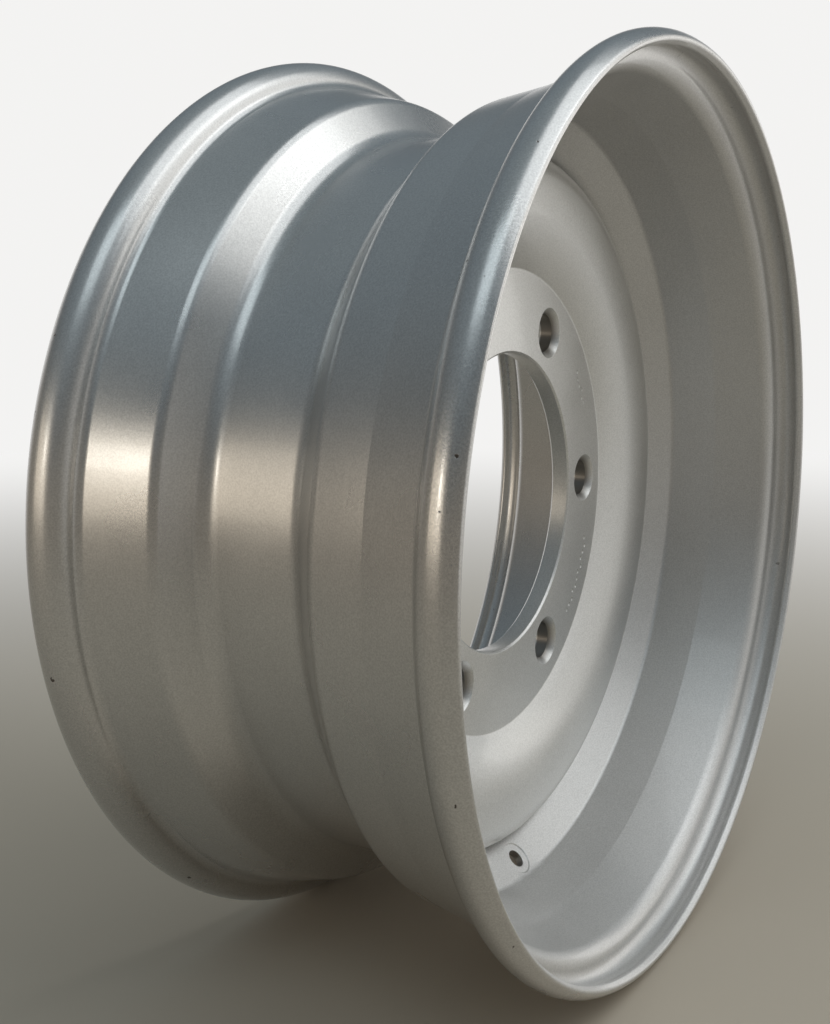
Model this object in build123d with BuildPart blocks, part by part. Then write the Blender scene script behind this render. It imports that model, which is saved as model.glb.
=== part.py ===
from build123d import *
import os
from math import cos, radians, sin, tan

# Truck wheel: a tubeless drop-centre rim with a pressed disc welded into its well.
# Millimetres, Z up. The origin is the wheel's centre, in the plane of the hub face.
# The axle runs along Y. The dished side, where the valve hole shows, faces -Y.
# Angles of holes are degrees clockwise from straight up, as seen from that side.

# Rim, 17.5 inches by 6.75 inches with 15 degree bead seats
seat_diameter = 444.5  # across the bead seats, where they meet the flanges
rim_width = 171.5  # between the flanges
seat_taper = 15.0  # degrees by which a bead seat falls towards the well
flange_height = 12.7  # crest of the flange above the bead seat diameter
curl_radius = 12.7  # outer side of the flange's rolled edge
curl_past_crest = 55.0  # degrees that the rolled edge goes on beyond its crest
flange_lean = 16.0  # degrees that the flange leans outwards
root_bend = 5.5  # between flange and bead seat
rim_sheet = 5.5  # thickness of the rim's steel
edge_round = 2.0  # on the rim's rolled edges
front_seat_width = 30.0
ledge_width = 28.5  # band between the front bead seat and the well
ledge_taper = 10.0  # degrees by which that band falls towards the well
rear_seat_width = 34.5
well_depth = 30.0  # well floor below the bead seat diameter
front_wall_slope = 45.0  # degrees between the front well wall and the axle
rear_wall_slope = 57.5
crease_bend = 2.0  # between ledge and front bead seat
shoulder_bend = 10.0  # top of the front well wall
rear_shoulder_bend = 8.0  # top of the rear well wall
well_bend = 12.0  # foot of both well walls

# Valve hole, halfway up the front well wall
valve_hole = 9.7
valve_angle = 181.5
valve_pad = 18.0  # flat pressed round the hole on the inside
valve_pad_depth = 0.8

# Disc
disc_sheet = 11.0  # thickness of the disc's plate
bore_diameter = 161.0
bore_chamfer = 1.0
stud_circle = 205.0
stud_count = 6
stud_hole = 21.0
stud_seat = 28.0  # mouth of the cone that a wheel nut sits in
stud_seat_angle = 90.0
stud_start = 29.3
face_diameter = 250.0  # flat bolting face
crown_height = 13.0  # crown of the disc above the bolting face
disc_bend = 14.0  # outer radius of the bend between crown and skirt
skirt_length = 26.0  # straight edge of the disc, inside the well

# Weld between the skirt's rear edge and the well
weld_leg = 7.0
weld_bulge = 0.8

# Places on the rim's tyre side. A reach runs along the axle from the hub face
# towards the front, and a height is a radius about the axle.
seat_slope = tan(radians(seat_taper))
lean = radians(flange_lean)
flange_reach = rim_width / 2
seat_height = seat_diameter / 2
crest_reach = flange_reach + curl_radius
curl_height = seat_height + flange_height - curl_radius
curl_sweep = 90 + curl_past_crest - flange_lean
lean_reach = crest_reach - curl_radius * cos(lean)
lean_height = curl_height + curl_radius * sin(lean)
root_reach = (
    lean_reach - tan(lean) * (lean_height - seat_height + seat_slope * flange_reach)
) / (1 - tan(lean) * seat_slope)
root_height = seat_height + seat_slope * (root_reach - flange_reach)
crease_reach = flange_reach - front_seat_width
crease_height = seat_height - seat_slope * front_seat_width
shoulder_reach = crease_reach - ledge_width
shoulder_height = crease_height - ledge_width * tan(radians(ledge_taper))
well_height = seat_height - well_depth
front_foot_reach = shoulder_reach - (shoulder_height - well_height) / tan(
    radians(front_wall_slope)
)
rear_shoulder_reach = rear_seat_width - flange_reach
rear_shoulder_height = seat_height - seat_slope * rear_seat_width
rear_foot_reach = rear_shoulder_reach + (rear_shoulder_height - well_height) / tan(
    radians(rear_wall_slope)
)

# Places on the disc. Its skirt lies against the inside of the well.
skirt_height = well_height - rim_sheet
crown_reach = disc_sheet + crown_height
bend_reach = crown_reach - disc_bend
bend_height = skirt_height - disc_bend
skirt_end = bend_reach - skirt_length

# Profiles are drawn with the reach along local x and the height along local y
section = Plane(origin=(0, 0, 0), x_dir=(0, -1, 0), z_dir=(-1, 0, 0))


# Rim: the tyre side is traced from lip to lip, and the sheet lies inside it
with BuildPart() as rim:
    with BuildSketch(section) as rim_profile:
        with BuildLine():
            front_curl = CenterArc(
                (crest_reach, curl_height), curl_radius, 90 - curl_past_crest, curl_sweep
            )
            rear_curl = CenterArc(
                (-crest_reach, curl_height), curl_radius, flange_lean, curl_sweep
            )
            FilletPolyline(
                front_curl @ 1,
                (root_reach, root_height),
                (crease_reach, crease_height),
                (shoulder_reach, shoulder_height),
                (front_foot_reach, well_height),
                (rear_foot_reach, well_height),
                (rear_shoulder_reach, rear_shoulder_height),
                (-root_reach, root_height),
                rear_curl @ 0,
                radius=[
                    root_bend,
                    crease_bend,
                    shoulder_bend,
                    well_bend,
                    well_bend,
                    rear_shoulder_bend,
                    root_bend,
                ],
            )
            offset(amount=rim_sheet, side=Side.LEFT)
        make_face()
        corners = rim_profile.vertices().sort_by(Axis.X)
        fillet(corners[:2] + corners[-2:], min(edge_round, 0.45 * rim_sheet))
    revolve(axis=Axis.Y)

    # The valve hole's axis stands square on the middle of the front well wall
    wall = radians(front_wall_slope)
    turn = radians(valve_angle)
    pad_inset = rim_sheet - valve_pad_depth
    pad_reach = (front_foot_reach + shoulder_reach) / 2 + pad_inset * sin(wall)
    pad_height = (well_height + shoulder_height) / 2 - pad_inset * cos(wall)
    pad_floor = Plane(
        origin=(pad_height * sin(turn), -pad_reach, pad_height * cos(turn)),
        x_dir=(cos(turn), 0, -sin(turn)),
        z_dir=(-cos(wall) * sin(turn), -sin(wall), -cos(wall) * cos(turn)),
    )
    with BuildSketch(pad_floor):
        Circle(valve_pad / 2)
    extrude(amount=2 * valve_pad_depth, mode=Mode.SUBTRACT)
    with BuildSketch(pad_floor):
        Circle(valve_hole / 2)
    extrude(amount=-2 * rim_sheet, mode=Mode.SUBTRACT)

# Disc: flat bolting face, domed crown, and a bend into the skirt
with BuildPart() as disc:
    with BuildSketch(section) as disc_profile:
        with BuildLine():
            Line((disc_sheet, bore_diameter / 2), (disc_sheet, face_diameter / 2))
            TangentArc(
                (crown_reach, bend_height),
                (disc_sheet, face_diameter / 2),
                tangent=(0, -1),
            )
            CenterArc((bend_reach, bend_height), disc_bend, 0, 90)
            Line((bend_reach, skirt_height), (skirt_end, skirt_height))
            offset(amount=disc_sheet, side=Side.LEFT)
        make_face()
        chamfer(disc_profile.vertices().group_by(Axis.Y)[0], bore_chamfer)
    revolve(axis=Axis.Y)
    stud_face = Plane(origin=(0, -disc_sheet, 0), x_dir=(0, 0, 1), z_dir=(0, -1, 0))
    with Locations(stud_face):
        with PolarLocations(stud_circle / 2, stud_count, start_angle=-stud_start):
            CounterSinkHole(
                stud_hole / 2, stud_seat / 2, counter_sink_angle=stud_seat_angle
            )

# Weld: a bead with a slightly round face, behind the skirt
with BuildPart() as weld:
    with BuildSketch(section):
        with BuildLine():
            on_skirt = (skirt_end, skirt_height - weld_leg)
            on_well = (skirt_end - weld_leg, skirt_height)
            Polyline(on_well, (skirt_end, skirt_height), on_skirt)
            middle = (
                skirt_end - weld_leg / 2 - weld_bulge * sin(radians(45)),
                skirt_height - weld_leg / 2 - weld_bulge * cos(radians(45)),
            )
            ThreePointArc(on_skirt, middle, on_well)
        make_face()
    revolve(axis=Axis.Y)

os.makedirs("parts", exist_ok=True)
for name, node in (("rim", rim), ("disc", disc), ("weld", weld)):
    node.part.label = name
    export_step(node.part, "parts/" + name + ".step")
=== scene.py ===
import bpy
import numpy as np
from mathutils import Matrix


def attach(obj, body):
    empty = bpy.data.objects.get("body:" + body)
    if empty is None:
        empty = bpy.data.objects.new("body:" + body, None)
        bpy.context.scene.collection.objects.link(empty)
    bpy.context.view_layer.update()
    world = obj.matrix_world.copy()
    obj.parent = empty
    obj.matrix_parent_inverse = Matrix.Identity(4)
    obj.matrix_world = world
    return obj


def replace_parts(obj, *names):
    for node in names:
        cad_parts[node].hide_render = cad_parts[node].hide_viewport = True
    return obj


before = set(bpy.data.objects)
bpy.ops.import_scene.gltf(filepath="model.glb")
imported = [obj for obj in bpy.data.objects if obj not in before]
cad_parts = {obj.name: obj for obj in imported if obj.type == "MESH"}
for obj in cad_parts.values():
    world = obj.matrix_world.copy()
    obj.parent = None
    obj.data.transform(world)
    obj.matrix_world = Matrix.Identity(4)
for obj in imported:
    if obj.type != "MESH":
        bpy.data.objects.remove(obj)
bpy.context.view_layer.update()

# Shapes are worked out in millimetres and put down in metres. A profile is drawn by
# its reach (along the axle towards the dished front, which is -Y) and its height
# (the radius about the axle), and metal lies on the left of its direction of travel.
# Angles about the axle are degrees clockwise from straight up, seen from the front.
MM = 0.001
WHEEL_RADIUS = 234.95

# Rim: its rolled edges, and the corners of its tyre side as (reach, height)

CREST = 98.45  # reach of the flange crests
CURL_HEIGHT = 222.23  # centre of the rolled edge, which keeps the wheel in the CAD's box
CURL = 12.7
CURL_END = 35.0  # where the rolled edge ends, degrees up from the axle's direction
LEAN = 16.0  # of the flange, degrees outwards
RIM_SHEET = 5.5
LIP_ROUND = 2.02
ROOT, CREASE, SHOULDER = (85.1961, 222.1016), (55.75, 214.2115), (27.25, 209.1862)
FRONT_FOOT, REAR_FOOT = (10.3139, 192.25), (-38.0269, 192.25)
REAR_SHOULDER, REAR_ROOT = (-51.25, 213.0058), (-85.1961, 222.1016)
RIM_BENDS = [5.5, 2.0, 10.0, 12.0, 12.0, 8.0, 5.5]  # at those corners, in that order
RIM_ROWS = 6.0  # longest step along the rim's straight runs

# Disc: a flat face from the bore outwards, a crown that is an arc, a bend and a skirt
DISC_SHEET = 11.0
BORE, BORE_CHAMFER = 80.5, 1.0
BORE_RING = 3.5  # width of the flat ring that the bore's own section starts from
FACE_ROWS = 3.09  # longest step across the flat face
FACE_ROWS_END = 121.0  # height at which those even rows end
DOME = 94.19  # radius of the crown's arc, and its centre
DOME_CENTRE = (-70.19, 172.75)
CREASE_BEND = 2.5
CROWN_BEND = 14.0
BEND_CENTRE = (10.0, 172.75)
SKIRT, SKIRT_END = 186.75, -16.0
SKIRT_MARGIN = 1.5  # length of skirt that its rounded end is drawn with

# Holes, all as radii. Each has a window in the grid, so many degrees to each side.
STUD_CIRCLE, STUD_START, STUD_COUNT = 102.5, 29.3, 6
STUD_HOLE, STUD_SEAT = 10.5, 14.0
STUD_RING = 1.4  # flat ring that is drawn round the mouth of a stud's cone
STUD_WINDOW, VALVE_WINDOW = 11, 5
VALVE_ANGLE, VALVE_HOLE, VALVE_PAD = 181.5, 4.85, 9.0
VALVE_PAD_DEPTH = 0.8
WALL_SLOPE = 45.0  # degrees between the front well wall and the axle
VALVE_ROWS = (33.5, 0.5)  # reaches at which the valve's window starts and ends
COLUMNS = 360  # of the grids carried round the axle, one to a degree
BEFORE_HOLE = 30  # columns before the middle of the first hole

WELD_LEG = 7.0
WELD_COLUMNS, WELD_RIPPLES = 2880, 240


# ----------------------------------------------------------------- profiles

def arc(centre, radius, start, end, outward=1, step=7.5):
    """Places on a circle between two angles in degrees, and the normals there: the
    radial direction times outward, which is -1 where the metal is outside the circle."""
    count = max(2, int(np.ceil(abs(end - start) / step)) + 1)
    turn = np.radians(np.linspace(start, end, count))
    way = np.stack([np.cos(turn), np.sin(turn)], 1)
    return np.array(centre) + radius * way, outward * way


def bent_path(points, bends, step=7.5):
    """The path through the points, with each inner corner replaced by the arc of the
    given radius that touches both runs. The normal is the direction of travel turned
    right, and swings evenly along an arc."""
    points = np.array(points, float)
    runs = np.diff(points, axis=0)
    runs /= np.linalg.norm(runs, axis=1)[:, None]
    right = np.stack([runs[:, 1], -runs[:, 0]], 1)
    places, normals = [points[:1]], [right[:1]]
    for corner, bend, before, after, side in zip(points[1:-1], bends, runs, runs[1:],
                                                 right):
        turn = np.arctan2(before[0] * after[1] - before[1] * after[0], before @ after)
        count = max(2, int(np.ceil(abs(np.degrees(turn)) / step)) + 1)
        angle = np.linspace(0, turn, count)
        swung = np.stack([side[0] * np.cos(angle) - side[1] * np.sin(angle),
                          side[0] * np.sin(angle) + side[1] * np.cos(angle)], 1)
        hand = np.sign(turn)
        middle = corner - before * bend * np.tan(abs(turn) / 2) - side * bend * hand
        places.append(middle + swung * bend * hand)
        normals.append(swung)
    return np.concatenate(places + [points[-1:]]), np.concatenate(normals + [right[-1:]])


def joined(*stretches):
    """Profile stretches one after another, as one run of places and one of normals."""
    return tuple(np.concatenate(part) for part in zip(*stretches))


def filled(profile, longest):
    """The profile with evenly spaced places added on every run that is longer than
    the given length."""
    places, normals = profile
    gaps = np.linalg.norm(np.diff(places, axis=0), axis=1)
    counts = np.maximum(np.ceil(gaps / longest).astype(int), 1)
    stops = np.concatenate([[0.0], np.cumsum(gaps)])
    along = np.concatenate([np.linspace(a, b, n, endpoint=False)
                            for a, b, n in zip(stops, stops[1:], counts)] + [stops[-1:]])
    return tuple(np.stack([np.interp(along, stops, part[:, k]) for k in (0, 1)], 1)
                 for part in (places, normals))


def lip_trims():
    """How far short of its cut end a rolled edge stops outside and inside, in degrees,
    to leave room for the small rounds."""
    return tuple(np.degrees(np.arcsin(LIP_ROUND / reach))
                 for reach in (CURL - LIP_ROUND, CURL - RIM_SHEET + LIP_ROUND))


def rim_side(trim):
    """The rim's tyre side from lip to lip: a rolled edge, the flange, a bead seat, the
    ledge, the well between its walls, the rear seat, and the rear flange and edge."""
    front = arc((CREST, CURL_HEIGHT), CURL, CURL_END + trim, 180 - LEAN)
    rear = arc((-CREST, CURL_HEIGHT), CURL, LEAN, 180 - CURL_END - trim)
    corners = [front[0][-1], ROOT, CREASE, SHOULDER, FRONT_FOOT, REAR_FOOT, REAR_SHOULDER,
               REAR_ROOT, rear[0][0]]
    middle = bent_path(corners, RIM_BENDS)
    middle = filled((middle[0][1:-1], middle[1][1:-1]), RIM_ROWS)
    return joined(front, middle, rear)


def lip(front):
    """The rounded end of a rolled edge: two small arcs with the cut face between them.
    Their centres lie on the edge's own circles, a small angle short of its cut end."""
    outer, inner = CURL - LIP_ROUND, CURL - RIM_SHEET + LIP_ROUND
    alpha, beta = lip_trims()
    hand, end = (1, CURL_END) if front else (-1, 180 - CURL_END)

    def polar(radius, angle):
        return np.array([hand * CREST, CURL_HEIGHT]) + radius * np.array(
            [np.cos(np.radians(angle)), np.sin(np.radians(angle))])

    outside = arc(polar(outer, end + hand * alpha), LIP_ROUND,
                  end + hand * alpha, end - hand * 90, step=12)
    inside = arc(polar(inner, end + hand * beta), LIP_ROUND,
                 end - hand * 90, end - hand * (180 - beta), step=12)
    if front:
        return tuple(part[::-1] for part in joined(outside, inside))
    return joined(outside, inside)


def disc_side():
    """The disc's front from the bore to the end of the skirt: the flat face, the hollow
    crease at its edge, the dome of the crown, the round bend and the straight skirt. The
    crease is an arc that touches the face and the outside of the dome's circle."""
    reach, height = DOME_CENTRE
    low = np.sqrt((DOME + CREASE_BEND) ** 2 - (DISC_SHEET + CREASE_BEND - reach) ** 2)
    lean = np.degrees(np.arcsin(low / (DOME + CREASE_BEND)))
    face = filled((np.array([(DISC_SHEET, BORE + BORE_RING), (DISC_SHEET, FACE_ROWS_END)]),
                   np.array([(1.0, 0.0), (1.0, 0.0)])), FACE_ROWS)
    turn = np.radians(np.linspace(0, -lean, 6))
    way = np.stack([np.cos(turn), np.sin(turn)], 1)
    hollow = (np.array([DISC_SHEET + CREASE_BEND, height - low]) - CREASE_BEND * way, way)
    dome = arc(DOME_CENTRE, DOME, -lean, 0, step=2.2)
    bend = arc(BEND_CENTRE, CROWN_BEND, 0, 90, step=6)
    skirt = (np.array([(-4.0, SKIRT), (SKIRT_END + SKIRT_MARGIN, SKIRT)]),
             np.array([(0.0, 1.0), (0.0, 1.0)]))
    return joined(face, hollow, (dome[0][1:], dome[1][1:]), (bend[0][1:], bend[1][1:]),
                  skirt)


# -------------------------------------------------------------------- skins

class Skin:
    """One closed surface, put together from grids and rings of places with their
    normals."""

    def __init__(self):
        self.places, self.normals, self.faces, self.count = [], [], [], 0

    def put(self, places, normals):
        """Adds places in millimetres and gives their numbers, in the same grid."""
        self.places.append(places.reshape(-1, 3))
        self.normals.append(normals.reshape(-1, 3))
        numbers = self.count + np.arange(places.size // 3).reshape(places.shape[:-1])
        self.count += numbers.size
        return numbers

    def faces_between(self, a, b, c, d):
        """Four-sided faces, one for each place in four grids of numbers."""
        self.faces.append(np.stack([a.ravel(), b.ravel(), c.ravel(), d.ravel()], 1))

    def band(self, first, second):
        """Faces between two closed rings that have as many places."""
        self.faces_between(first, second, np.roll(second, -1), np.roll(first, -1))

    def piece(self, name, material, slot):
        """The finished object. Each face is turned to agree with the worked-out normals,
        which the mesh is then shaded with."""
        places, normals, faces = (np.concatenate(part) for part in
                                  (self.places, self.normals, self.faces))
        square = np.cross(places[faces[:, 2]] - places[faces[:, 0]],
                          places[faces[:, 3]] - places[faces[:, 1]])
        back = np.einsum("ij,ij->i", square, normals[faces].sum(1)) < 0
        faces[back] = faces[back][:, ::-1]
        mesh = bpy.data.meshes.new(name)
        mesh.from_pydata((places * MM).tolist(), [], faces.tolist())
        mesh.polygons.foreach_set("use_smooth", np.ones(len(faces), bool))
        mesh.normals_split_custom_set_from_vertices(normals.tolist())
        mesh.materials.append(material)
        piece = bpy.data.objects.new(name, mesh)
        bpy.context.scene.collection.objects.link(piece)
        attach(piece, "root")
        return piece


def turned(pairs, angles):
    """A profile carried round the axle, rows by place and columns by angle: a height
    becomes height times sine and cosine of the angle in X and Z, a reach becomes -Y."""
    turn = np.radians(angles)
    reach, height = pairs[:, 0, None], pairs[:, 1, None]
    return np.stack([height * np.sin(turn), -reach + 0 * turn, height * np.cos(turn)], -1)


def revolved(skin, profile, angles, windows=()):
    """Puts a closed profile round the axle, with each place joined to the next along
    and the next down. Leaves the faces out of windows given by first and last row and
    first and last column. Gives the places' numbers."""
    numbers = skin.put(*(turned(part, angles) for part in profile))
    keep = np.ones(numbers.shape, bool)
    for top, bottom, left, right in windows:
        keep[top:bottom, left:right] = False
    down, along = np.roll(numbers, -1, 0), np.roll(numbers, -1, 1)
    skin.faces_between(*(part[keep] for part in (numbers, along, np.roll(down, -1, 1), down)))
    return numbers


def round_window(window):
    """Rows and columns of the places round a window, in one closed turn."""
    top, bottom, left, right = window
    rows = [np.full(right - left, top), np.arange(top, bottom),
            np.full(right - left, bottom), np.arange(bottom, top, -1)]
    columns = [np.arange(left, right), np.full(bottom - top, right),
               np.arange(right, left, -1), np.full(bottom - top, left)]
    return np.concatenate(rows), np.concatenate(columns)


# --------------------------------------------------------------------- disc

def make_disc(material):
    """The disc: its closed section carried round the axle. Each stud hole is the hole's
    own section, cone and bore, carried round the hole's axis and joined to windows in
    both flats by flat rings."""
    side = disc_side()
    inside = (side[0] - DISC_SHEET * side[1])[::-1], -side[1][::-1]
    end = bent_path([(SKIRT_END + SKIRT_MARGIN, SKIRT), (SKIRT_END, SKIRT),
                     (SKIRT_END, SKIRT - DISC_SHEET),
                     (SKIRT_END + SKIRT_MARGIN, SKIRT - DISC_SHEET)], [0.5, 0.5], 30)
    bore = bent_path([(0, BORE + BORE_RING), (0, BORE + BORE_CHAMFER),
                      (BORE_CHAMFER, BORE), (DISC_SHEET - BORE_CHAMFER, BORE),
                      (DISC_SHEET, BORE + BORE_CHAMFER),
                      (DISC_SHEET, BORE + BORE_RING)], [0.3] * 4, 15)
    end, bore = ((places[1:-1], normals[1:-1]) for places, normals in (end, bore))
    angles = STUD_START - BEFORE_HOLE + np.arange(float(COLUMNS))
    mirror = 2 * len(side[0]) + len(end[0]) - 1  # a row and its twin behind add up to it
    face_end = int(np.argmin(np.abs(side[0][:20, 1] - FACE_ROWS_END)))
    apart = COLUMNS // STUD_COUNT
    windows = [(0, face_end, middle - STUD_WINDOW, middle + STUD_WINDOW)
               for middle in range(BEFORE_HOLE, COLUMNS, apart)]
    behind = [(mirror - face_end, mirror, left, right) for _, _, left, right in windows]
    skin = Skin()
    numbers = revolved(skin, joined(side, end, inside, bore), angles, windows + behind)
    placed = np.concatenate(skin.places)
    cone = STUD_SEAT - STUD_HOLE  # as deep as it is wide
    hole = bent_path([(0, STUD_SEAT + STUD_RING), (0, STUD_HOLE),
                      (DISC_SHEET - cone, STUD_HOLE), (DISC_SHEET, STUD_SEAT),
                      (DISC_SHEET, STUD_SEAT + STUD_RING)], [0.4, 0.5, 0.35], 15)
    forward = np.array([0.0, -1.0, 0.0])
    for k, window in enumerate(windows):
        rows, columns = round_window(window)
        front, back = numbers[rows, columns], numbers[mirror - rows, columns]
        turn = np.radians(STUD_START + apart * k)
        centre = np.array([STUD_CIRCLE * np.sin(turn), 0, STUD_CIRCLE * np.cos(turn)])
        away = placed[front] - centre
        angle = np.arctan2(away[:, 0], away[:, 2])
        around = np.stack([np.sin(angle), 0 * angle, np.cos(angle)], 1)
        rings = skin.put(*(offset + pairs[:, :1, None] * forward + pairs[:, 1:, None] * around
                           for offset, pairs in ((centre, hole[0]), (0, hole[1]))))
        skin.band(back, rings[0])
        skin.faces_between(rings[:-1], rings[1:],
                           np.roll(rings[1:], -1, 1), np.roll(rings[:-1], -1, 1))
        skin.band(rings[-1], front)
    return skin.piece("pressed_disc", material, "disc_paint")


# ---------------------------------------------------------------------- rim

def on_profile(base, way, profile):
    """Where lines through the base places, along one direction, meet the surface that a
    profile makes round the axle. A place is moved by its miss in height until it lies
    on the surface, and takes the profile's normal at its reach."""
    order = np.argsort(profile[0][:, 0])
    reaches, heights = profile[0][order].T
    slopes = profile[1][order]
    rise = np.zeros(len(base))
    for _ in range(60):
        place = base + rise[:, None] * way
        rise -= 0.6 * (np.hypot(place[:, 0], place[:, 2])
                       - np.interp(-place[:, 1], reaches, heights))
    place = base + rise[:, None] * way
    height = np.hypot(place[:, 0], place[:, 2])
    out_reach, out_height = (np.interp(-place[:, 1], reaches, slopes[:, k])
                             for k in (0, 1))
    return place, np.stack([out_height * place[:, 0] / height, -out_reach,
                            out_height * place[:, 2] / height], 1)


def hole_side(skin, edge, centre, axes, profile, turn, rings, pad=0.0):
    """Rings from a window's edge to a hole in a curved wall, each given by share,
    radius, press, sink and tilt. Its places are a mix, by share, of the edge and a
    circle, laid on the wall, moved by press towards the flat that lies pad inside the
    wall, and sunk. Its normals are the wall's or the flat's, tilted to the hole."""
    across, along, out = axes
    plane = np.stack([across, along])
    flat = (np.concatenate(skin.places)[edge] - centre) @ plane.T
    circle = np.stack([np.cos(turn), np.sin(turn)], 1)
    last = edge
    for share, radius, press, sink, tilt in rings:
        spot = flat * (1 - share) + circle * radius * share
        place, normal = on_profile(centre + spot @ plane, out, profile)
        place = place + (press * (pad - (place - centre) @ out))[:, None] * out
        normal = normal * (1 - press) + out * press * np.sign(normal @ out)[:, None]
        normal /= np.linalg.norm(normal, axis=1)[:, None]
        lean = np.radians(tilt)
        ring = skin.put(place - sink * normal,
                        normal * np.cos(lean) - circle @ plane * np.sin(lean))
        skin.band(last, ring)
        last = ring
    return last


def make_rim(material):
    """The rim: its closed section carried round the axle, with the valve hole and the
    flat pressed round it let into windows on both sides of the front well wall."""
    outer_trim, inner_trim = lip_trims()
    side, under = rim_side(outer_trim), rim_side(inner_trim)
    inside = under[0] - RIM_SHEET * under[1], -under[1]
    rear_lip, front_lip = (tuple(part[1:-1] for part in lip(front))
                           for front in (False, True))
    section = joined(side, rear_lip, (inside[0][::-1], inside[1][::-1]), front_lip)
    mirror = 2 * len(side[0]) + len(rear_lip[0]) - 1  # a row and its twin inside add up to it
    top, bottom = (int(np.argmin(np.abs(side[0][:, 0] - reach))) for reach in VALVE_ROWS)
    left, right = BEFORE_HOLE - VALVE_WINDOW, BEFORE_HOLE + VALVE_WINDOW
    window = (top, bottom, left, right)
    angles = VALVE_ANGLE - BEFORE_HOLE + np.arange(float(COLUMNS))
    skin = Skin()
    numbers = revolved(skin, section, angles,
                       [window, (mirror - bottom, mirror - top, left, right)])

    turn, slope = np.radians(VALVE_ANGLE), np.radians(WALL_SLOPE)
    across = np.array([np.cos(turn), 0, -np.sin(turn)])
    out = np.array([np.cos(slope) * np.sin(turn), np.sin(slope),
                    np.cos(slope) * np.cos(turn)])
    axes = (across, np.cross(out, across), out)
    reach, height = (np.array(SHOULDER) + np.array(FRONT_FOOT)) / 2
    tyre = np.array([height * np.sin(turn), -reach, height * np.cos(turn)])
    rows, columns = round_window(window)
    outer, inner = numbers[rows, columns], numbers[mirror - rows, columns]
    away = np.concatenate(skin.places)[outer] - tyre
    angle = np.arctan2(away @ axes[1], away @ axes[0])
    mix = [(0.2, 12.0, 0, 0, 0), (0.45, 11.6, 0, 0, 0), (0.75, 11.0, 0, 0, 0)]
    # The hole's rounded edge is (beyond the hole, sink, tilt), and the step down to the
    # pad is (beyond the pad, press, tilt)
    edge = [(0.9, 0, 0), (0.35, 0.02, 20), (0.1, 0.14, 55), (0, 0.4, 90)]
    step = [(0.7, 0, 0), (0.4, 0.05, 14), (0.15, 0.25, 38), (0, 0.5, 48), (-0.15, 0.75, 38),
            (-0.4, 0.95, 14), (-0.7, 1, 0), (-2.0, 1, 0)]
    outer_ring = hole_side(
        skin, outer, tyre, axes, side, angle,
        mix + [(1, 10.0, 0, 0, 0), (1, 7.5, 0, 0, 0)]
        + [(1, VALVE_HOLE + more, 0, sink, tilt) for more, sink, tilt in edge])
    inner_ring = hole_side(
        skin, inner, tyre - RIM_SHEET * out, axes, inside, angle,
        mix + [(1, VALVE_PAD + more, press, 0, tilt) for more, press, tilt in step]
        + [(1, VALVE_HOLE + more, 1, sink, tilt) for more, sink, tilt in edge],
        VALVE_PAD_DEPTH)
    skin.band(outer_ring, inner_ring)
    return skin.piece("drop_centre_rim", material, "rim_paint")


# --------------------------------------------------------------------- weld

def make_weld(material):
    """The weld bead: a slightly round face between the well and the skirt's end, closed
    behind by the two legs that lie on the metal. Its lift is the parabola 4 s (1 - s)
    over the share s across it, times the sum of a constant and a tooth. The tooth rises
    with the 0.6th power of each ripple's phase and falls with the 0.35th power of what
    is left of it. The phase lags by the square of the distance from the middle, which
    bends each ripple into a crescent, and sines of the angle make the ripples and the
    legs uneven."""
    share = np.linspace(1, 0, 11)[:, None]
    turn = np.linspace(0, 2 * np.pi, WELD_COLUMNS, endpoint=False)[None]
    phase = (turn * WELD_RIPPLES / (2 * np.pi) - 0.9 * (2 * share - 1) ** 2
             + 0.35 * np.sin(turn * 31)) % 1.0
    lift = 4 * share * (1 - share) * (0.15 + 1.2 * phase ** 0.6 * (1 - phase) ** 0.35)
    leg = WELD_LEG - 0.25 * (1 + np.sin(turn * 17 + 1.3)) * (0.6 + 0.4 * np.sin(turn * 53))
    slant = 0.7071  # share of the lift that goes along each leg
    reach = np.concatenate([SKIRT_END - leg * share - lift * slant, SKIRT_END + 0 * turn])
    height = np.concatenate([SKIRT - leg * (1 - share) - lift * slant,
                             SKIRT - 0.02 + 0 * turn])
    places = np.stack([height * np.sin(turn), -reach, height * np.cos(turn)], -1)
    normals = np.cross(np.roll(places, -1, 1) - np.roll(places, 1, 1),
                       np.roll(places, -1, 0) - np.roll(places, 1, 0))
    normals /= np.linalg.norm(normals, axis=-1, keepdims=True)
    skin = Skin()
    numbers = skin.put(places, normals)
    down, along = np.roll(numbers, -1, 0), np.roll(numbers, -1, 1)
    skin.faces_between(numbers, along, np.roll(down, -1, 1), down)
    return skin.piece("weld_bead", material, "weld_paint")


# ---------------------------------------------------------------- materials

METALLIC, DRY_METALLIC = 0.90, 0.76
COAT, COAT_ROUGHNESS = 0.5, 0.08
GRAIN = (0.3, 0.7)  # the part of a noise pattern's range that is spread out
FLAKE, MOTTLE, PEEL, ROLLED, CHIPS = 1250.0, 14.0, 420.0, 0.45, 170.0  # scales of noise
CHIPPED_EDGE = (226.0, 232.0)  # height over which chips set in
CHIP_COLOUR = (0.07, 0.055, 0.045)
# darker colour for the walls of the stud holes
DARK_HOLE_WALL_COLOUR = (0.24, 0.225, 0.205)
# painted glint: pale colour mixed into the punched dents
DENT_GLINT_COLOUR = (0.85, 0.85, 0.83)
PUNCHED_ROWS = ((59.0, 6.5, 109.5), (121.0, 13.0, 112.0))  # middle, half span, height
PUNCH_STEP = 2.2  # degrees from dent to dent
PUNCH_WANDER, PUNCH_DEPTH = 1.5, 0.7


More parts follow.
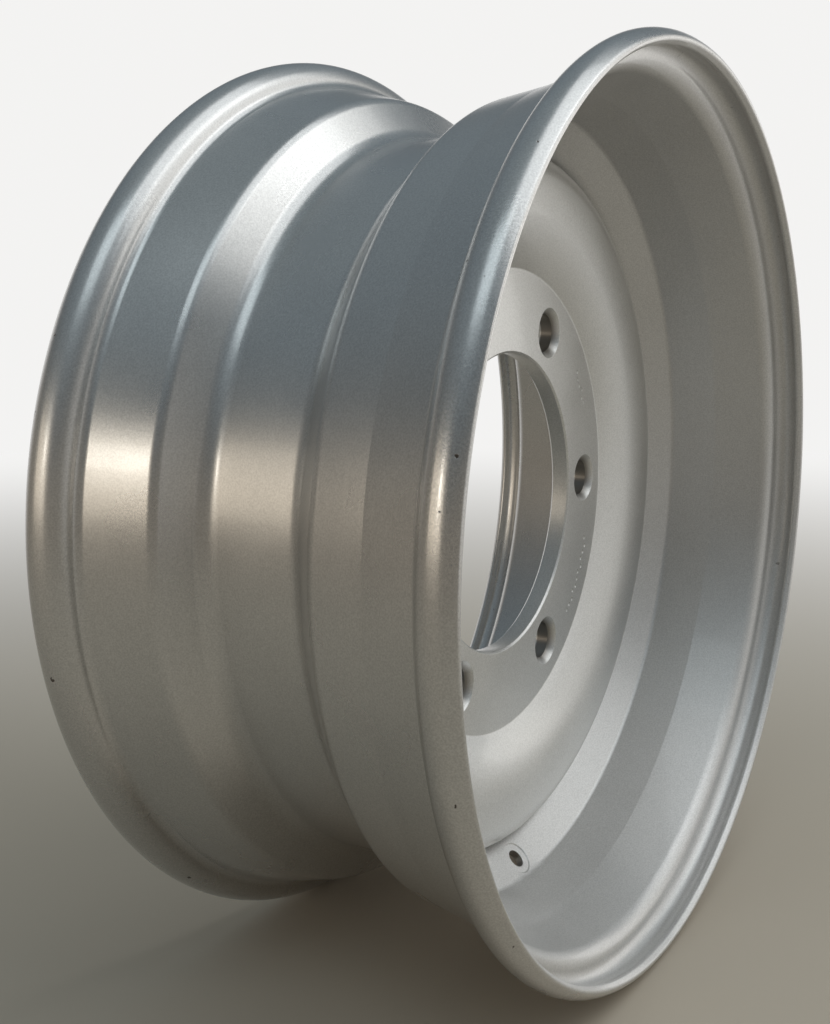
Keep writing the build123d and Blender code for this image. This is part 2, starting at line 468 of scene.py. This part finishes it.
class Net:
    """The shader nodes of a material or of the world, and the ways they are joined. A
    value is a socket or a plain number."""

    def __init__(self, owner):
        owner.use_nodes = True
        self.nodes, self.link = owner.node_tree.nodes, owner.node_tree.links.new
        self.nodes.clear()

    def new(self, kind):
        return self.nodes.new("ShaderNode" + kind)

    def show(self, kind, shader):
        """Shows the shader on the material's surface or the world."""
        self.link(shader, self.new("Output" + kind).inputs["Surface"])

    def math(self, operation, *values):
        """One step of arithmetic."""
        step = self.new("Math")
        step.operation = operation
        for socket, value in zip(step.inputs, values):
            if isinstance(value, (int, float)):
                socket.default_value = value
            else:
                self.link(value, socket)
        return step.outputs[0]

    def plus(self, one, other):
        return self.math("ADD", one, other)

    def minus(self, one, other):
        return self.math("SUBTRACT", one, other)

    def times(self, one, other):
        return self.math("MULTIPLY", one, other)

    def length(self, one, other):
        """The root of the sum of two squares."""
        return self.math("SQRT", self.plus(self.times(one, one), self.times(other, other)))

    def vector(self, operation, value, other=None):
        """One step of arithmetic on vectors, the second of them a plain one."""
        step = self.new("VectorMath")
        step.operation = operation
        self.link(value, step.inputs[0])
        if other is not None:
            step.inputs[1].default_value = other
        return step.outputs["Value" if operation in ("DOT_PRODUCT", "LENGTH") else "Vector"]

    def split(self, vector):
        """A vector's X, Y and Z."""
        parts = self.new("SeparateXYZ")
        self.link(vector, parts.inputs[0])
        return tuple(parts.outputs[axis] for axis in "XYZ")

    def fit(self, value, low, high, to_low, to_high, soft=False):
        """The value, carried from one range to another in proportion and clamped there.
        A soft one eases in and out."""
        spread = self.new("MapRange")
        if soft:
            spread.interpolation_type = "SMOOTHSTEP"
        for socket, number in (("From Min", low), ("From Max", high),
                               ("To Min", to_low), ("To Max", to_high)):
            spread.inputs[socket].default_value = number
        self.link(value, spread.inputs["Value"])
        return spread.outputs["Result"]

    def noise(self, place, scale, detail):
        """A noise pattern on the given coordinates."""
        pattern = self.new("TexNoise")
        pattern.inputs["Scale"].default_value = scale
        pattern.inputs["Detail"].default_value = detail
        pattern.inputs["Roughness"].default_value = 0.55
        self.link(place, pattern.inputs["Vector"])
        return pattern.outputs["Fac"]

    def tinted(self, share, colour, other):
        """A colour, or the colour that a socket gives, mixed by share with another."""
        mix = self.new("Mix")
        mix.data_type = "RGBA"
        self.link(share, mix.inputs["Factor"])
        if isinstance(colour, tuple):
            mix.inputs["A"].default_value = (*colour, 1)
        else:
            self.link(colour, mix.inputs["A"])
        mix.inputs["B"].default_value = (*other, 1)
        return mix.outputs["Result"]


def dry_faces(net, x, y, z):
    """How far a face looks towards the axle, in the dish: from zero where the product of
    its normal and its place about the axle is positive to one where that is -0.06 m,
    fading out behind the bolting face."""
    away_x, _, away_z = net.split(net.new("NewGeometry").outputs["Normal"])
    outwards = net.plus(net.times(x, away_x), net.times(z, away_z))
    return net.times(net.fit(outwards, -0.06, 0.0, 1.0, 0.0),
                     net.fit(y, -0.012, 0.004, 1.0, 0.0, True))


def chips(net, place, radius):
    """Small spots on the rolled edges: one in the peaks of a noise pattern near the
    rim's greatest height, and zero elsewhere."""
    return net.times(net.fit(net.noise(place, CHIPS, 2.0), 0.74, 0.76, 0.0, 1.0),
                     net.fit(radius, *CHIPPED_EDGE, 0.0, 1.0))


def punched_row(net, angle, radius, middle, half_span, height):
    """Plain round dents in a row round the axle, one to each step of the angle, at a
    height that wanders as the sine of the step's number. A dent is one up to 0.6 mm
    from its middle and eases to zero at 1.5 mm."""
    steps = net.math("DIVIDE", angle, PUNCH_STEP)
    wander = net.times(net.math("SINE", net.times(net.math("FLOOR", steps), 2.4)),
                       PUNCH_WANDER)
    across = net.minus(net.minus(radius, height), wander)
    along = net.times(net.minus(net.math("FRACT", steps), 0.5),
                      PUNCH_STEP * height * np.pi / 180.0)
    off = net.math("ABSOLUTE", net.minus(angle, middle))
    return net.times(net.fit(net.length(across, along), 0.6, 1.5, 1.0, 0.0, True),
                     net.fit(off, half_span, half_span + 0.1, 1.0, 0.0))


def punched_dents(net, x, y, z, radius):
    """Both rows of dents, on the front of the bolting face alone."""
    angle = net.times(net.math("ARCTAN2", x, z), 180 / np.pi)
    rows = net.plus(*(punched_row(net, angle, radius, *row) for row in PUNCHED_ROWS))
    return net.times(rows, net.fit(y, -0.0110, -0.0108, 1.0, 0.0))


def inside_stud_holes(net, y, radius):
    """One between the two flats of the disc, where only the walls of the stud holes lie
    between these heights, and zero elsewhere."""
    deep = net.times(net.fit(y, -0.0104, -0.008, 0.0, 1.0),
                     net.fit(y, -0.0012, -0.0004, 1.0, 0.0))
    return net.times(deep, net.times(net.fit(radius, 85.0, 86.0, 0.0, 1.0),
                                     net.fit(radius, 118.0, 119.0, 1.0, 0.0)))


def silver_paint(name, dark, light, rough, drier=None, chipped=False, punched=False):
    """Satin metallic silver paint with a thin clear top. Flake and a faint mottle vary
    its colour, and orange peel and rolling marks its level. Where drier is given, faces
    in the dish that look towards the axle are less metallic, and rougher by that much.
    The rim's edges have a few small chips, and the disc's bolting face has two rows of
    plain punched dents, lightened with a painted glint; the walls of its stud holes are
    coloured darker."""
    material = bpy.data.materials.new(name)
    net = Net(material)
    paint = net.new("BsdfPrincipled")
    paint.inputs["Metallic"].default_value = METALLIC
    paint.inputs["Coat Weight"].default_value = COAT
    paint.inputs["Coat Roughness"].default_value = COAT_ROUGHNESS
    place = net.new("TexCoord").outputs["Object"]
    x, y, z = net.split(place)
    radius = net.times(1000.0, net.length(x, z))  # in millimetres, as level is below

    mottle = net.noise(place, MOTTLE, 4.0)
    shade = net.plus(net.fit(net.noise(place, FLAKE, 1.0), *GRAIN, 0.0, 0.72),
                     net.fit(mottle, *GRAIN, 0.0, 0.28))
    colour = net.tinted(shade, dark, light)
    satin = net.fit(mottle, *GRAIN, rough - 0.03, rough + 0.04)
    if drier is not None:
        dry = dry_faces(net, x, y, z)
        metal = net.fit(dry, 0.0, 1.0, METALLIC, DRY_METALLIC)
        if drier:
            satin = net.plus(satin, net.times(dry, drier))

    around = net.new("CombineXYZ")
    net.link(radius, around.inputs[0])
    net.link(net.times(y, 1000.0), around.inputs[1])
    level = net.plus(net.times(net.noise(place, PEEL, 2.0), 0.028),
                     net.times(net.noise(around.outputs[0], ROLLED, 2.0), 0.02))
    if chipped:
        chip = chips(net, place, radius)
        colour = net.tinted(chip, colour, CHIP_COLOUR)
        metal = net.times(metal, net.fit(chip, 0.0, 1.0, 1.0, 0.2))
        level = net.minus(level, net.times(chip, 0.1))
    if punched:
        dents_and_glint = punched_dents(net, x, y, z, radius)
        level = net.minus(level, net.times(dents_and_glint, PUNCH_DEPTH))
        # the walls of the stud holes are coloured darker
        colour = net.tinted(inside_stud_holes(net, y, radius), colour, DARK_HOLE_WALL_COLOUR)
        # painted glint: the dents are lightened half way to a pale colour
        colour = net.tinted(net.times(dents_and_glint, 0.5), colour, DENT_GLINT_COLOUR)

    net.link(colour, paint.inputs["Base Color"])
    if drier is not None:
        net.link(metal, paint.inputs["Metallic"])
    net.link(satin, paint.inputs["Roughness"])
    bump = net.new("Bump")
    bump.inputs["Strength"].default_value = 1.0
    bump.inputs["Distance"].default_value = MM
    net.link(level, bump.inputs["Height"])
    net.link(bump.outputs["Normal"], paint.inputs["Normal"])
    net.show("Material", paint.outputs["BSDF"])
    return material


rim_silver = silver_paint("rim_silver_paint", (0.51, 0.505, 0.495), (0.69, 0.685, 0.67),
                          0.28, drier=0.18, chipped=True)
disc_silver = silver_paint("disc_silver_paint", (0.56, 0.56, 0.545), (0.74, 0.74, 0.725),
                           0.36, drier=0.0, punched=True)
weld_silver = silver_paint("weld_silver_paint", (0.36, 0.36, 0.355), (0.60, 0.60, 0.59),
                           0.40)
for node, finish in (("rim", rim_silver), ("disc", disc_silver), ("weld", weld_silver)):
    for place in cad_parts[node].material_slots:
        place.material = finish

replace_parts(make_rim(rim_silver), "rim")
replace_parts(make_disc(disc_silver), "disc")
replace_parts(make_weld(weld_silver), "weld")


# ------------------------------------------------------------ floor and light

FLOOR_HALF = 30.0  # metres from the middle of the floor to its sides
FLOOR_FADE = (0.2, 2.2)  # metres from the wheel over which it turns into the surround
FLOOR_COLOUR = (0.54, 0.48, 0.395)
NEAR_GROUND = (0.24, 0.215, 0.18)
SKY = ((0.06, NEAR_GROUND), (0.34, (0.12, 0.135, 0.145)), (0.65, (0.17, 0.21, 0.24)),
       (1.0, (0.22, 0.265, 0.29)))  # from the horizon, 0, to straight up, 1
LIGHT_SIDES = (  # direction, where it starts and is full, heights of its top, colour
    ((0.62, -0.79, 0.0), (0.30, 1.0), (0.1, 0.5), (0.76, 0.75, 0.725)),
    ((0.85, 0.52, 0.0), (0.30, 0.92), (0.2, 0.42), (0.90, 0.895, 0.885)))
LAMPS = (  # name, azimuth, elevation, distance, width, height, radiance, colour
    ("window", 34, 36, 2.6, 2.6, 1.9, 1.05, (1.0, 0.99, 0.965)),
    ("front_low", 66, 4, 2.4, 1.8, 0.7, 0.65, (1.0, 0.98, 0.94)),
    ("top_front", 18, 66, 2.6, 2.4, 1.8, 1.1, (0.97, 0.99, 1.0)),
    ("sky_side", -74, 57, 3.0, 1.6, 1.2, 0.95, (0.84, 0.95, 1.0)),
    ("warm_side", -113, 8, 2.5, 2.0, 0.8, 1.0, (1.0, 0.87, 0.70)),
    ("warm_core", -103, 12, 2.2, 0.25, 0.2, 6.0, (1.0, 0.95, 0.86)))


def horizon(net, way, height=None):
    """The surround's colour near the floor in each direction: a warm grey, lighter
    towards the front right and pale towards the right and the back. Each lighter part
    eases in with the product of the way and its direction. Where a height is given, the
    lighter parts end there, and the grey gives way to the sky's colours."""
    shown = NEAR_GROUND
    if height is not None:
        ramp = net.new("ValToRGB")
        net.link(height, ramp.inputs[0])
        while len(ramp.color_ramp.elements) < len(SKY):
            ramp.color_ramp.elements.new(1.0)
        for element, (at, colour) in zip(ramp.color_ramp.elements, SKY):
            element.position = at
            element.color = (*colour, 1)
        shown = ramp.outputs["Color"]
    for side, reach, top, colour in LIGHT_SIDES:
        share = net.fit(net.vector("DOT_PRODUCT", way, side), *reach, 0.0, 1.0, True)
        if height is not None:
            share = net.times(share, net.fit(height, *top, 1.0, 0.0, True))
        shown = net.tinted(share, shown, colour)
    return shown


def studio_world():
    """A plain surround, as the horizon near the floor and bluer and dimmer overhead."""
    world = bpy.data.worlds.new("studio")
    bpy.context.scene.world = world
    net = Net(world)
    way = net.new("TexCoord").outputs["Generated"]
    surround = net.new("Background")
    net.link(horizon(net, way, net.split(way)[2]), surround.inputs["Color"])
    net.show("World", surround.outputs[0])


def plain_floor(half):
    """A plain pale floor that the wheel stands on. Away from the wheel it turns into
    the surround, so that no edge shows."""
    mesh = bpy.data.meshes.new("floor")
    corners = np.array([[-1, -1], [1, -1], [1, 1], [-1, 1]]) * half
    mesh.from_pydata([(x, y, -WHEEL_RADIUS * MM) for x, y in corners], [], [(0, 1, 2, 3)])
    floor = bpy.data.objects.new("floor", mesh)
    bpy.context.scene.collection.objects.link(floor)
    material = bpy.data.materials.new("floor_pale")
    net = Net(material)
    flat = net.vector("MULTIPLY", net.new("TexCoord").outputs["Object"], (1.0, 1.0, 0.0))
    matt, far, fade = net.new("BsdfDiffuse"), net.new("Emission"), net.new("MixShader")
    matt.inputs["Color"].default_value = (*FLOOR_COLOUR, 1)
    net.link(horizon(net, net.vector("NORMALIZE", flat)), far.inputs["Color"])
    net.link(net.fit(net.vector("LENGTH", flat), *FLOOR_FADE, 0.0, 1.0, True),
             fade.inputs["Fac"])
    net.link(matt.outputs[0], fade.inputs[1])
    net.link(far.outputs[0], fade.inputs[2])
    net.show("Material", fade.outputs[0])
    mesh.materials.append(material)


def lamp_at(name, azimuth, elevation, distance, width, height, radiance, colour):
    """A soft rectangular lamp seen from the wheel in a direction, and facing it. Its
    power is the radiance times pi times its area."""
    across, up = np.radians(azimuth), np.radians(elevation)
    way = np.array([np.sin(across) * np.cos(up), -np.cos(across) * np.cos(up), np.sin(up)])
    light = bpy.data.lights.new(name, "AREA")
    light.shape = "RECTANGLE"
    light.size, light.size_y = width, height
    light.energy = radiance * np.pi * width * height
    light.color = colour
    lamp = bpy.data.objects.new(name, light)
    bpy.context.scene.collection.objects.link(lamp)
    lamp.location = distance * way
    lamp.rotation_euler = (np.pi / 2 - up, 0.0, across)


def photo_camera():
    """The camera that was fitted to the photograph: its lens, shift, place, and the
    degrees that it looks down and is turned about Z."""
    lens = bpy.data.cameras.new("camera")
    lens.sensor_width = 36.0
    lens.lens = 46.978
    lens.shift_x, lens.shift_y = 0.01766, -0.01978
    camera = bpy.data.objects.new("camera", lens)
    camera.location = (-0.63628, -0.32877, 0.11772)
    camera.rotation_euler = (np.radians(90 - 8.936), 0.0, np.radians(-58.691))
    bpy.context.scene.collection.objects.link(camera)
    bpy.context.scene.camera = camera


studio_world()
plain_floor(FLOOR_HALF)
for lamp in LAMPS:
    lamp_at(*lamp)
photo_camera()
bpy.context.scene.view_settings.view_transform = "Standard"
